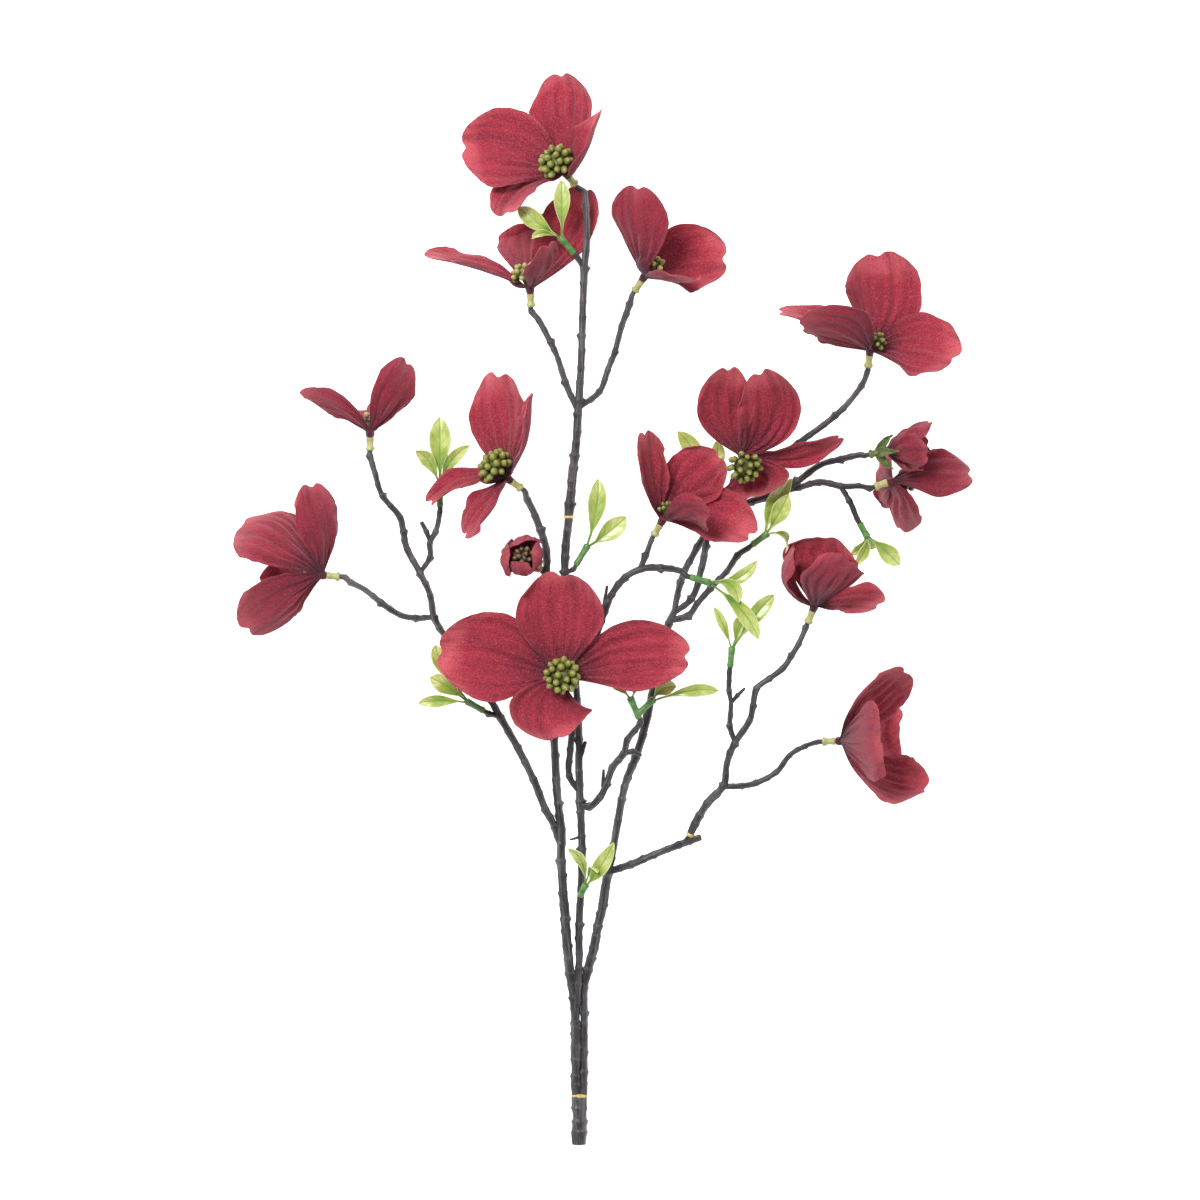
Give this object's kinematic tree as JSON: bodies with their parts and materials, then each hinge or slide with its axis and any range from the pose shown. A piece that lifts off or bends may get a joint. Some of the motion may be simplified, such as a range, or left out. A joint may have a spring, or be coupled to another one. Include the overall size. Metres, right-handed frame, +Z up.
{
  "type": "dogwood flower branch",
  "caption": "Artificial dogwood spray: a dark forked stem with open crimson blooms, a closed bud and small green leaf sprigs, lying flat.",
  "frame": {"origin": "on the table the spray lies on, under the middle of its bounding box", "axes": "+Y from the cut end of the stem to the top bloom, +X across the spray, +Z up from the table"},
  "size_m": [0.3716, 0.5378, 0.0835],
  "materials": {
    "petal_fabric": "woven crimson fabric, matt",
    "bud_plastic": "olive green moulded plastic, satin",
    "sleeve_plastic": "pale yellow-green moulded plastic, satin",
    "leaf_fabric": "coated yellow-green leaf fabric, slightly glossy",
    "bark_plastic": "dark grey-brown moulded plastic bark, low sheen"
  },
  "bodies": {
    "root": {"bloom_01_bud_head": "bud_plastic", "bloom_01_petals": "petal_fabric", "bloom_01_sleeve": "sleeve_plastic", "bloom_02_bud_head": "bud_plastic", "bloom_02_petals": "petal_fabric", "bloom_02_sleeve": "sleeve_plastic", "bloom_03_bud_head": "bud_plastic", "bloom_03_petals": "petal_fabric", "bloom_03_sleeve": "sleeve_plastic", "bloom_04_bud_head": "bud_plastic", "bloom_04_petals": "petal_fabric", "bloom_04_sleeve": "sleeve_plastic", "bloom_05_bud_head": "bud_plastic", "bloom_05_petals": "petal_fabric", "bloom_05_sleeve": "sleeve_plastic", "bloom_06_bud_head": "bud_plastic", "bloom_06_petals": "petal_fabric", "bloom_06_sleeve": "sleeve_plastic", "bloom_07_bud_head": "bud_plastic", "bloom_07_petals": "petal_fabric", "bloom_07_sleeve": "sleeve_plastic", "bloom_08_bud_head": "bud_plastic", "bloom_08_petals": "petal_fabric", "bloom_08_sleeve": "sleeve_plastic", "bloom_09_bud_head": "bud_plastic", "bloom_09_petals": "petal_fabric", "bloom_09_sleeve": "sleeve_plastic", "bloom_10_bud_head": "bud_plastic", "bloom_10_petals": "petal_fabric", "bloom_10_sleeve": "sleeve_plastic", "bloom_11_bud_head": "bud_plastic", "bloom_11_petals": "petal_fabric", "bloom_11_sleeve": "sleeve_plastic", "bloom_12_bud_head": "bud_plastic", "bloom_12_petals": "petal_fabric", "bloom_12_sleeve": "sleeve_plastic", "bloom_13_bud_head": "bud_plastic", "bloom_13_petals": "petal_fabric", "bloom_13_sleeve": "sleeve_plastic", "bloom_14_bud_head": "bud_plastic", "bloom_14_petals": "petal_fabric", "bloom_14_sleeve": "sleeve_plastic", "closed_bud_petals": "petal_fabric", "closed_bud_sleeve": "sleeve_plastic", "closed_bud_stamens": "bud_plastic", "leaf_sprig_01": "leaf_fabric", "leaf_sprig_02": "leaf_fabric", "leaf_sprig_03": "leaf_fabric", "leaf_sprig_04": "leaf_fabric", "leaf_sprig_05": "leaf_fabric", "leaf_sprig_06": "leaf_fabric", "leaf_sprig_07": "leaf_fabric", "leaf_sprig_08": "leaf_fabric", "leaf_sprig_09": "leaf_fabric", "leaf_sprig_10": "leaf_fabric", "leaf_sprig_11": "leaf_fabric", "main_branch": "bark_plastic", "right_branch": "bark_plastic", "stem_foot": "bark_plastic", "top_branch": "bark_plastic"}
  },
  "joints": []
}
